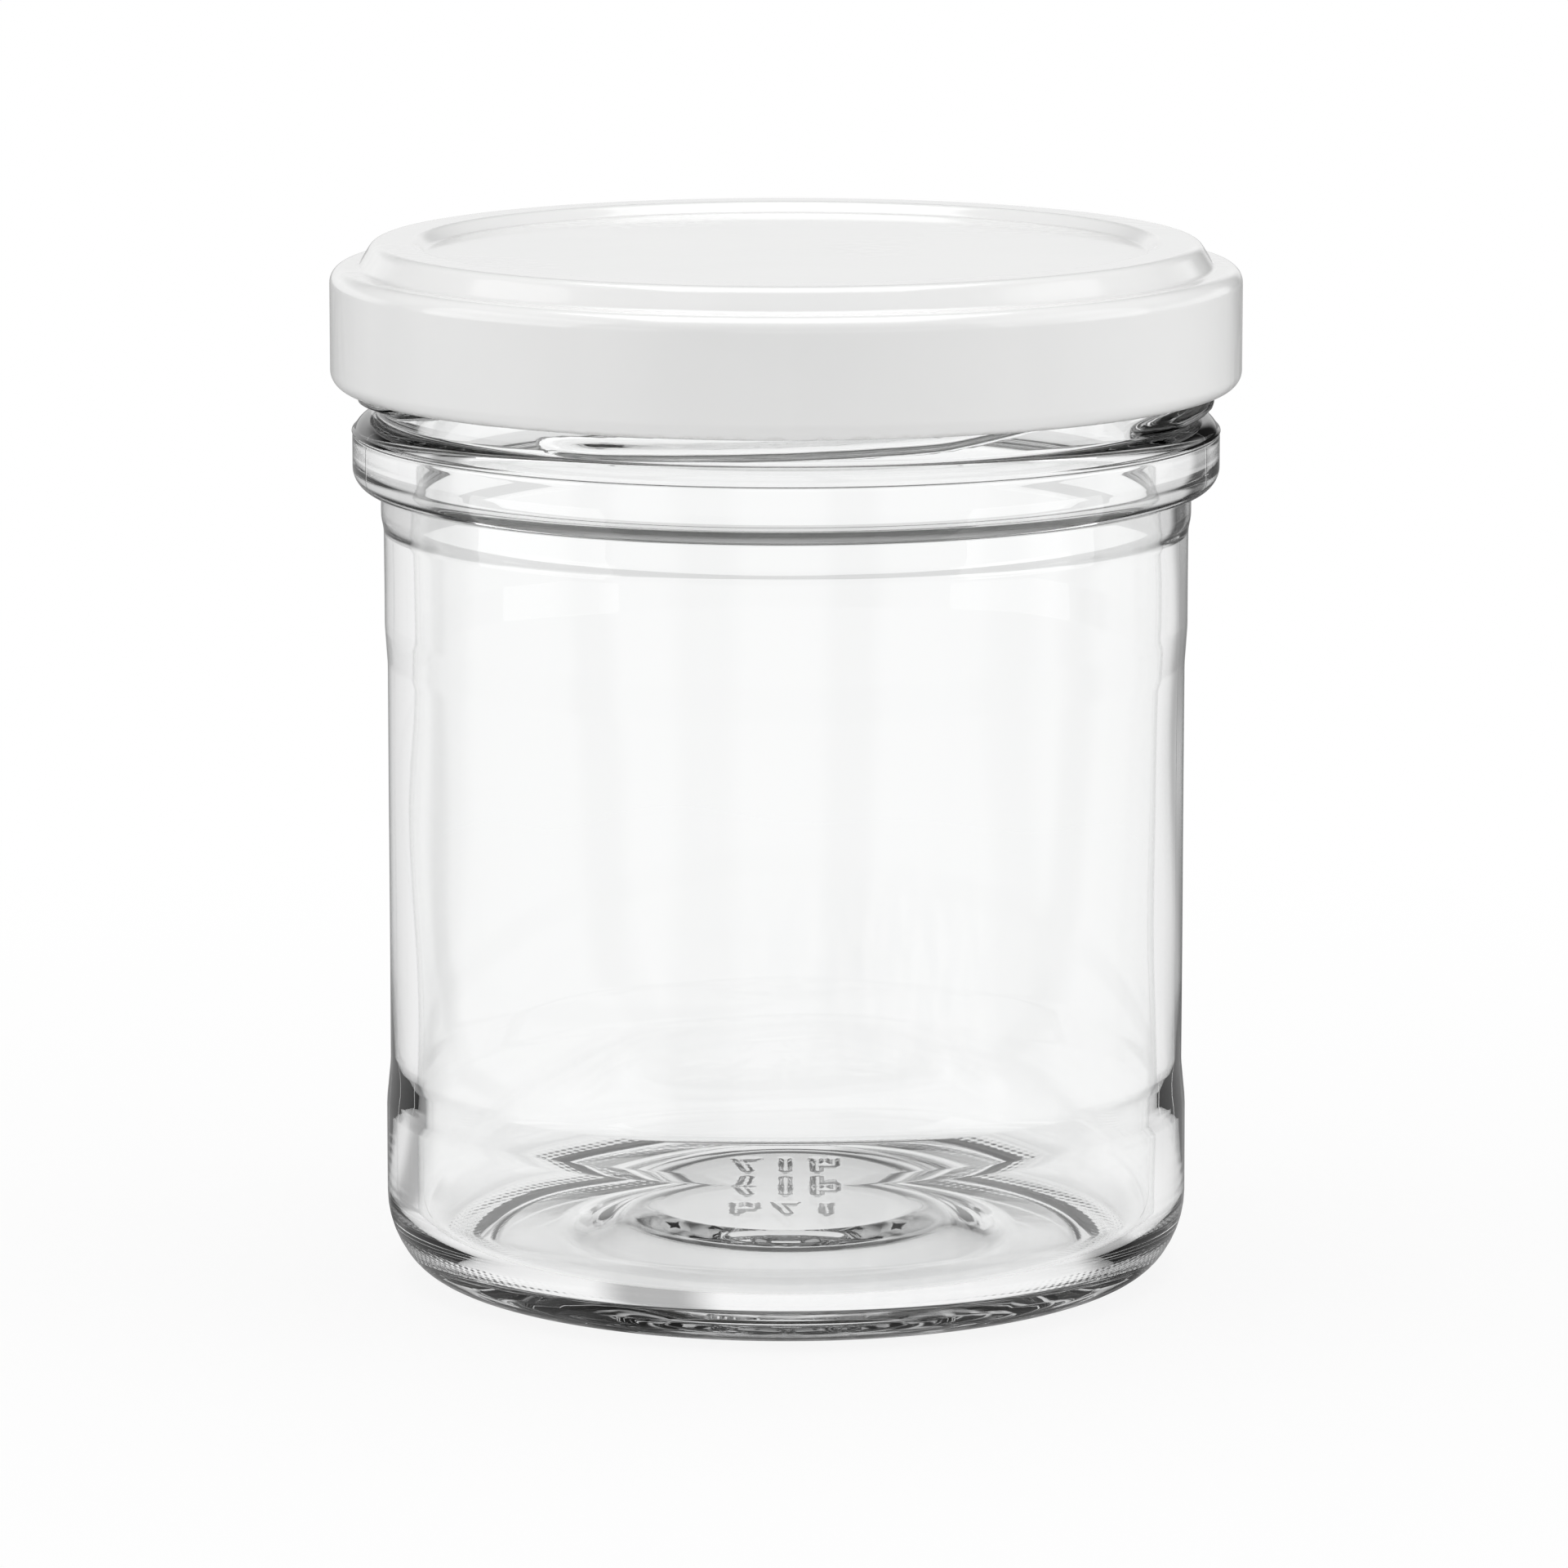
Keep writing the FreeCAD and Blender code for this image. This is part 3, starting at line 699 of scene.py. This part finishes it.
# Painted shade: the glass colour turns dark grey where the surface is grazed, for its dark edges.
smear_and_edge_shade = blend_colour(tree, ramp_between(tree, facing, *EDGE_SHADE_FACING), smear_and_edge_shade, EDGE_SHADE_GLASS)
feed(tree, shader.inputs["Base Color"], smear_and_edge_shade)
scuffed = math_node(tree, "MULTIPLY", math_node(tree, "MULTIPLY", underfoot, outer_side), SCUFF_ROUGH)
rough = math_node(tree, "MULTIPLY_ADD", smear, SMEAR_ROUGH, scuffed)
feed(tree, shader.inputs["Roughness"], rough)
shader.inputs["Transmission Weight"].default_value = 1.0
shader.inputs["IOR"].default_value = GLASS_IOR
jar.data.materials.append(glass)
print("material", glass.name, "has", len(tree.nodes), "nodes")

# %% [markdown]
# ## White lacquer
#
# The tinplate is printed flat with a white enamel and a clear varnish, and pressed to shape
# afterwards, so the coat is very even and only its gloss shows that it was sprayed: a fine
# peel, and the soft streaks of a thumb.  Under the lid the same white is duller, and the
# channel over the rim is filled with a cream sealing compound that has no gloss at all.  The
# lower edge and the lugs rub on the glass, so there the varnish has gone matt first.
#
# Each of these could be a material of its own, with hard borders.  One material with masks
# lets them wear into each other, as they do on the real sheet.

# %% Where on the lid
RUB_SCALE, RUB_DRAW = 650.0, 0.2          # rub marks in a metre, drawn out five times upwards
RUB_EDGES = (0.42, 0.62)
RUB_REACH = ((lid_edge + 0.05) * MM, (lid_edge + 0.55) * MM)

lacquer, tree, shader = new_material("white_lacquer")
where = add_node(tree, "ShaderNodeTexCoord").outputs["Object"]
axes = split_axes(tree, where)
inner_side = add_node(tree, "ShaderNodeAttribute", attribute_name="inside").outputs["Fac"]
compound = add_node(tree, "ShaderNodeAttribute", attribute_name="compound").outputs["Fac"]
by_edge = math_node(tree, "SUBTRACT", 1.0, ramp_between(tree, axes["Z"], *RUB_REACH))
rub_place = stretched(tree, where, 1.0, 1.0, RUB_DRAW)
rub_noise = noise(tree, rub_place, RUB_SCALE, detail=4.0, roughness=0.6)
rubbed = math_node(tree, "MULTIPLY", by_edge, ramp_between(tree, rub_noise, *RUB_EDGES))

# %% Lacquer colour
ENAMEL, ENAMEL_DULL = (0.93, 0.93, 0.925, 1), (0.905, 0.907, 0.903, 1)
CREAM, RUBBED = (0.78, 0.76, 0.70, 1), (0.74, 0.735, 0.72, 1)
CLOUD_SCALE, CLOUD_EDGES = 55.0, (0.3, 0.7)
RUB_STRENGTH = 0.7

cloud = ramp_between(tree, noise(tree, where, CLOUD_SCALE, detail=3.0), *CLOUD_EDGES)
paint = blend_colour(tree, cloud, ENAMEL, ENAMEL_DULL)
paint = blend_colour(tree, math_node(tree, "MULTIPLY", rubbed, RUB_STRENGTH), paint, RUBBED)
feed(tree, shader.inputs["Base Color"], blend_colour(tree, compound, paint, CREAM))
print("enamel", ENAMEL[:3], "and compound", CREAM[:3])

# %% Lacquer gloss and peel
LID_PATCHES, LID_CLEAN = 38.0, 0.52
SWELLS, SWELL_TALL = 110.0, 0.000012  # in a metre, and metres
PEEL, PEEL_TALL = 1400.0, 0.0000012
NEW_GLOSS = 0.11                      # roughness of the untouched outside
DULLING = {"smear": 0.10, "inside": 0.12, "rubbed": 0.25, "compound": 0.35}  # what each adds to it
VARNISH, VARNISH_ROUGH = 0.35, 0.05

smear = place_group(tree, handling_smears, Position=where, Patches=LID_PATCHES, Clean=LID_CLEAN)
swell = place_group(tree, surface_ripple, Position=where, Ripples=SWELLS, Tall=SWELL_TALL)
peel = place_group(tree, surface_ripple, Position=where, Ripples=PEEL, Tall=PEEL_TALL)
bump_by(tree, shader, math_node(tree, "ADD", swell, peel))
masks = {"smear": smear, "inside": inner_side, "rubbed": rubbed, "compound": compound}
rough = NEW_GLOSS
for name, mask in masks.items():
    rough = math_node(tree, "MULTIPLY_ADD", mask, DULLING[name], rough)
feed(tree, shader.inputs["Roughness"], rough)
outside_only = math_node(tree, "SUBTRACT", 1.0, inner_side)
feed(tree, shader.inputs["Coat Weight"], math_node(tree, "MULTIPLY", outside_only, VARNISH))
shader.inputs["Coat Roughness"].default_value = VARNISH_ROUGH
lid.data.materials.append(lacquer)
print("material", lacquer.name, "has", len(tree.nodes), "nodes")

# %% [markdown]
# ## Studio: who is looking
#
# Clear glass is drawn by what it bends, so it is lit the way a glass photographer does it:
# a bright white ground straight behind it, large white panels round it, and a dimmer floor
# and ceiling.  Light that comes straight through shows white, and light that has been turned
# back inside a bead or an edge shows a gap, the ceiling or the floor, which is the dark line
# that describes the shape.  One white world would be simpler, but then the jar would vanish.
#
# Light Path tells the kinds of light apart.  Glossy Depth counts mirrorings on the way, and
# light that was mirrored many times inside the glass is a little dimmer.  Transmission Depth
# is 0 for light that only the outside mirrored, and that light draws the thin outlines.

# %% Masks for straight, mirrored and matt light
TURN_STEP, TURN_FLOOR = 0.05, 0.40  # how much dimmer each further mirroring is, and the dimmest
OUTER_LEVEL = 0.35                  # the floor as the outsides mirror it
print("mirrored light dims by", TURN_STEP, "a turn, down to", TURN_FLOOR)


def lookers(tree):
    """Masks of straight light, of mirrored light and of matt surfaces, and a level.

    One of the masks is 1.  The level is 1 for light mirrored once and falls by an equal step
    for each time more, down to TURN_FLOOR.
    """
    path = add_node(tree, "ShaderNodeLightPath")
    matt = math_node(tree, "MINIMUM", path.outputs["Diffuse Depth"], 1.0)
    turned_back = math_node(tree, "MINIMUM", path.outputs["Glossy Depth"], 1.0)
    not_matt = math_node(tree, "SUBTRACT", 1.0, matt)
    mirrored = math_node(tree, "MULTIPLY", turned_back, not_matt)
    turns = math_node(tree, "MULTIPLY_ADD", path.outputs["Glossy Depth"], -TURN_STEP, 1 + TURN_STEP)
    straight = math_node(tree, "SUBTRACT", not_matt, mirrored)
    return straight, mirrored, matt, math_node(tree, "MAXIMUM", turns, TURN_FLOOR)


def outside_mirror_level(tree):
    """OUTER_LEVEL for light that an outside mirrored and that never went into glass, or else 1."""
    path = add_node(tree, "ShaderNodeLightPath")
    never_in = math_node(tree, "LESS_THAN", path.outputs["Transmission Depth"], 0.5)
    return math_node(tree, "MULTIPLY_ADD", never_in, OUTER_LEVEL - 1, 1.0)


# %% [markdown]
# ## The ring of panels
#
# The panels could be real lit cards, but those would show straight through the glass as
# well.  They are a pattern of the bearing instead, which only mirrored light is shown.  World
# and floor read the same group, so that a gap in one meets the gap in the other.

# %% Panels round the jar
PANELS, FIRST_GAP = 4, math.pi / 8  # panels round the jar, and the bearing of the first gap
GAP_DARK, GAP = 0.042, 0.14         # shares of a panel: half a gap's dark middle, and half a gap


def panel_group():
    """Group: a place or direction in, the brightness of the ring of panels there out.

    The bearing round the jar is cut into equal panels, and a soft gap is left where they meet.
    """
    tree, entry, leave = new_group("ring_of_panels", [("Position", "Vector")], [("Panel", "Float")])
    axes = split_axes(tree, entry.outputs["Position"])
    bearing = math_node(tree, "ARCTAN2", axes["X"], axes["Y"])
    bearing = math_node(tree, "ADD", bearing, 4 * math.pi - FIRST_GAP)
    panels = math_node(tree, "MULTIPLY", bearing, PANELS / (2 * math.pi))
    from_gap = math_node(tree, "PINGPONG", panels, 0.5)
    feed(tree, leave.inputs["Panel"], ramp_between(tree, from_gap, GAP_DARK, GAP))
    return tree


ring_of_panels = panel_group()
print("group:", ring_of_panels.name, "with", PANELS, "panels")

# %% [markdown]
# ## World
#
# The world is the room: an even pale grey straight ahead, panels and a dark ceiling for what
# is mirrored, and one plain level for matt surfaces, so that the paint under the gloss is
# evenly lit.  Each level is a share of the background's own pale grey.  A picture of a real
# room would do too, but it would bring its own colours.
#
# Cycles would also aim a ray at the world from every hit.  With a world that is nearly even
# that is wasted, so it is switched off, and light meets the world only as it leaves.

# %% World
ROOM_LIGHT = 0.97         # the white panels, as they are mirrored
ROOM_DARK = 0.04          # the gaps between them, and the room above them
PANEL_TOP = (0.16, 0.36)  # sine of the height at which the panels end
FILL = 0.56               # the whole room, as it lights matt surfaces

world = bpy.data.worlds.new("studio")
bpy.context.scene.world = world
world.use_nodes = True
world.cycles.sampling_method = "NONE"
tree = world.node_tree
tree.nodes.clear()
straight, mirrored, matt, dimming = lookers(tree)
direction = add_node(tree, "ShaderNodeTexCoord").outputs["Generated"]
panel = place_group(tree, ring_of_panels, Position=direction)
over_top = ramp_between(tree, split_axes(tree, direction)["Z"], *PANEL_TOP)
panel = math_node(tree, "MULTIPLY", panel, math_node(tree, "SUBTRACT", 1.0, over_top))
room = math_node(tree, "MULTIPLY_ADD", panel, ROOM_LIGHT - ROOM_DARK, ROOM_DARK)
room = math_node(tree, "MULTIPLY", room, dimming)
level = math_node(tree, "MULTIPLY_ADD", room, mirrored, straight)
background = add_node(tree, "ShaderNodeBackground")
feed(tree, background.inputs["Strength"], math_node(tree, "MULTIPLY_ADD", matt, FILL, level))
sky = add_node(tree, "ShaderNodeOutputWorld")
tree.links.new(background.outputs[0], sky.inputs["Surface"])
print("world", world.name, "has", len(tree.nodes), "nodes")

# %% [markdown]
# ## Floor
#
# A white table runs far back behind the jar.  A curved backdrop would hide its far edge from
# every height.  A flat sheet is enough for a camera that looks down on it, but from lower
# down its edge shows against the room.  It lies a hair below the glass, so that the two never
# share a plane.
#
# Close to the jar the floor takes a little shadow, and further out it is plain white.  In
# mirrored light it shows the panels, softened.  Light that is mirrored down steeply meets a
# dim floor, as if dark card lay round the foot of the jar, which is how a glass photographer
# draws the heel and the underside of the bead.

# %% Floor
FLOOR_REACH, FLOOR_DROP = 3.0, 0.00002  # metres
FLOOR_LINES = 13                        # lines of the grid each way

across = np.linspace(-FLOOR_REACH, FLOOR_REACH, FLOOR_LINES)
east, north = (side.ravel() for side in np.meshgrid(across, across))
first_corner = np.arange(FLOOR_LINES ** 2).reshape(FLOOR_LINES, FLOOR_LINES)[:-1, :-1].ravel()
round_cell = np.array([0, 1, FLOOR_LINES + 1, FLOOR_LINES])
floor_mesh = bpy.data.meshes.new("floor")
floor_mesh.from_pydata(np.stack([east, north, 0 * east - FLOOR_DROP], axis=-1).tolist(), [],
                       (first_corner[:, None] + round_cell).tolist())
floor = bpy.data.objects.new("floor", floor_mesh)
bpy.context.scene.collection.objects.link(floor)
print("floor has", len(floor_mesh.polygons), "squares")

# %% Floor as mirrored light sees it
WHITE_FOOT = (0.050, 0.066)  # metres: mirrored white by the jar, and from where steepness counts
STEEP = (0.58, 0.80)         # Facing of steep and of shallow light: the one sees a dim floor
STEEP_LEVEL, GAP_LEVEL = 0.02, 0.50  # that dim floor, and the floor in a gap between two panels

floor_paint, tree, shader = new_material("floor_paint")
place = add_node(tree, "ShaderNodeTexCoord").outputs["Object"]
distance = add_node(tree, "ShaderNodeVectorMath", operation="LENGTH")
feed(tree, distance.inputs[0], place)
distance = distance.outputs["Value"]
straight, mirrored, matt, dimming = lookers(tree)
panel = place_group(tree, ring_of_panels, Position=place)
mirror_view = math_node(tree, "MULTIPLY_ADD", panel, 1 - GAP_LEVEL, GAP_LEVEL)
facing = add_node(tree, "ShaderNodeLayerWeight").outputs["Facing"]
steep = math_node(tree, "SUBTRACT", 1.0, ramp_between(tree, facing, *STEEP))
steep_away = math_node(tree, "MULTIPLY", steep, ramp_between(tree, distance, *WHITE_FOOT))
steep_view = math_node(tree, "MULTIPLY_ADD", steep_away, STEEP_LEVEL - 1.0, 1.0)
mirror_view = math_node(tree, "MULTIPLY", mirror_view, steep_view)
levels = math_node(tree, "MULTIPLY", dimming, outside_mirror_level(tree))
mirror_view = math_node(tree, "MULTIPLY", mirror_view, levels)
print("steep mirrored light sees", STEEP_LEVEL, "of the floor's white")

# %% Floor paint
FLOOR_WHITE = (0.85, 0.85, 0.85, 1)
FLOOR_ROUGH, FLOOR_SHINE = 0.7, 0.2
NEAR_SHARE = 0.88        # how much of the floor by the jar is plain white; the rest takes shadow
ALL_WHITE = (0.03, 0.20)  # metres: the share rises from the first and is whole at the second

surface = shader.outputs["BSDF"].links[0].to_socket
shader.inputs["Base Color"].default_value = FLOOR_WHITE
shader.inputs["Roughness"].default_value = FLOOR_ROUGH
shader.inputs["Specular IOR Level"].default_value = FLOOR_SHINE
glow = add_node(tree, "ShaderNodeEmission")
feed(tree, glow.inputs["Strength"], math_node(tree, "MULTIPLY_ADD", mirror_view, mirrored, straight))
far = ramp_between(tree, distance, *ALL_WHITE)
white_share = math_node(tree, "MULTIPLY_ADD", far, 1 - NEAR_SHARE, NEAR_SHARE)
white_share = math_node(tree, "MAXIMUM", white_share, mirrored)
not_matt = math_node(tree, "SUBTRACT", 1.0, matt)
mix = add_node(tree, "ShaderNodeMixShader")
feed(tree, mix.inputs[0], math_node(tree, "MULTIPLY", white_share, not_matt))
tree.links.new(shader.outputs[0], mix.inputs[1])
tree.links.new(glow.outputs[0], mix.inputs[2])
tree.links.new(mix.outputs[0], surface)
floor.data.materials.append(floor_paint)
print("material", floor_paint.name, "has", len(tree.nodes), "nodes")

# %% [markdown]
# ## Lamps
#
# The lid is opaque, so it needs light of its own.  One soft box hangs overhead and models
# the sealing ring and the panel, and two larger, weaker ones stand at the sides and turn the
# skirt.  Small hard lamps would show as bright specks in the glass.  Each box is turned to
# the jar by two angles: how far it tips up from looking down, and its bearing.

# %% Soft boxes
AIM_HEIGHT = 0.75                                  # as a share of the jar's height
OVERHEAD = ((0, 0.05, 1.1), 0.9, 6.2)              # metres, side in metres, watts
SIDE_OUT, SIDE_FORWARD, SIDE_UP = 1.0, -0.22, 0.45  # metres
SIDE_SIZE, SIDE_POWER = 1.0, 3.4


def soft_box(name, place, size, power):
    """A square area lamp, aimed at the axis of the jar a little below the lid."""
    data = bpy.data.lights.new(name, "AREA")
    data.shape, data.size, data.size_y, data.energy = "RECTANGLE", size, size, power
    lamp = bpy.data.objects.new(name, data)
    bpy.context.scene.collection.objects.link(lamp)
    lamp.location = place
    aim = np.array([0, 0, lid_high[2] * MM * AIM_HEIGHT]) - np.array(place)
    level_reach = math.hypot(aim[0], aim[1])
    lamp.rotation_euler = (math.atan2(level_reach, -aim[2]), 0, math.atan2(-aim[0], aim[1]))
    print(name, "has", power, "W")


soft_box("overhead_soft_box", *OVERHEAD)
for name, side in (("left_soft_box", -1), ("right_soft_box", 1)):
    soft_box(name, (side * SIDE_OUT, SIDE_FORWARD, SIDE_UP), SIDE_SIZE, SIDE_POWER)

# %% [markdown]
# ## Camera and light paths
#
# The camera stands about 0.66 m away and looks down about ten degrees, through a long lens
# that keeps the sides of the jar upright.  A nearer one would widen the lid and open its
# ellipse more.
#
# Light that is trapped in the heel or the push-up is mirrored many times before it gets out.
# With the usual number of bounces it ends there and leaves black patches, so more are
# allowed.  Adding light to the glass would hide the patches too, but it would show everywhere.

# %% Camera
SENSOR, FOCAL = 36.0, 196.0                # mm
CAMERA_PLACE = (-0.00016, -0.650, 0.1508)  # metres
CAMERA_AIM = (-0.00016, 0.0, 0.0378)
CLIP = (0.01, 10.0)

camera_data = bpy.data.cameras.new("camera")
camera = bpy.data.objects.new("camera", camera_data)
bpy.context.scene.collection.objects.link(camera)
camera_data.sensor_width = SENSOR
camera_data.lens = FOCAL
camera_data.clip_start, camera_data.clip_end = CLIP
camera.location = CAMERA_PLACE
aim = np.array(CAMERA_AIM) - np.array(camera.location)
camera.rotation_euler = (math.pi / 2 + math.asin(aim[2] / np.linalg.norm(aim)), 0, 0)
bpy.context.scene.camera = camera
bpy.context.scene.view_settings.view_transform = "Standard"
print("camera tilts", round(math.degrees(camera.rotation_euler[0]) - 90, 2), "degrees")

# %% Bounces
ALL_BOUNCES, MIRRORINGS, PASSES = 16, 11, 14

light_paths = bpy.context.scene.cycles
light_paths.max_bounces = ALL_BOUNCES
light_paths.glossy_bounces = MIRRORINGS
light_paths.transmission_bounces = PASSES
print("light may be mirrored", MIRRORINGS, "times")
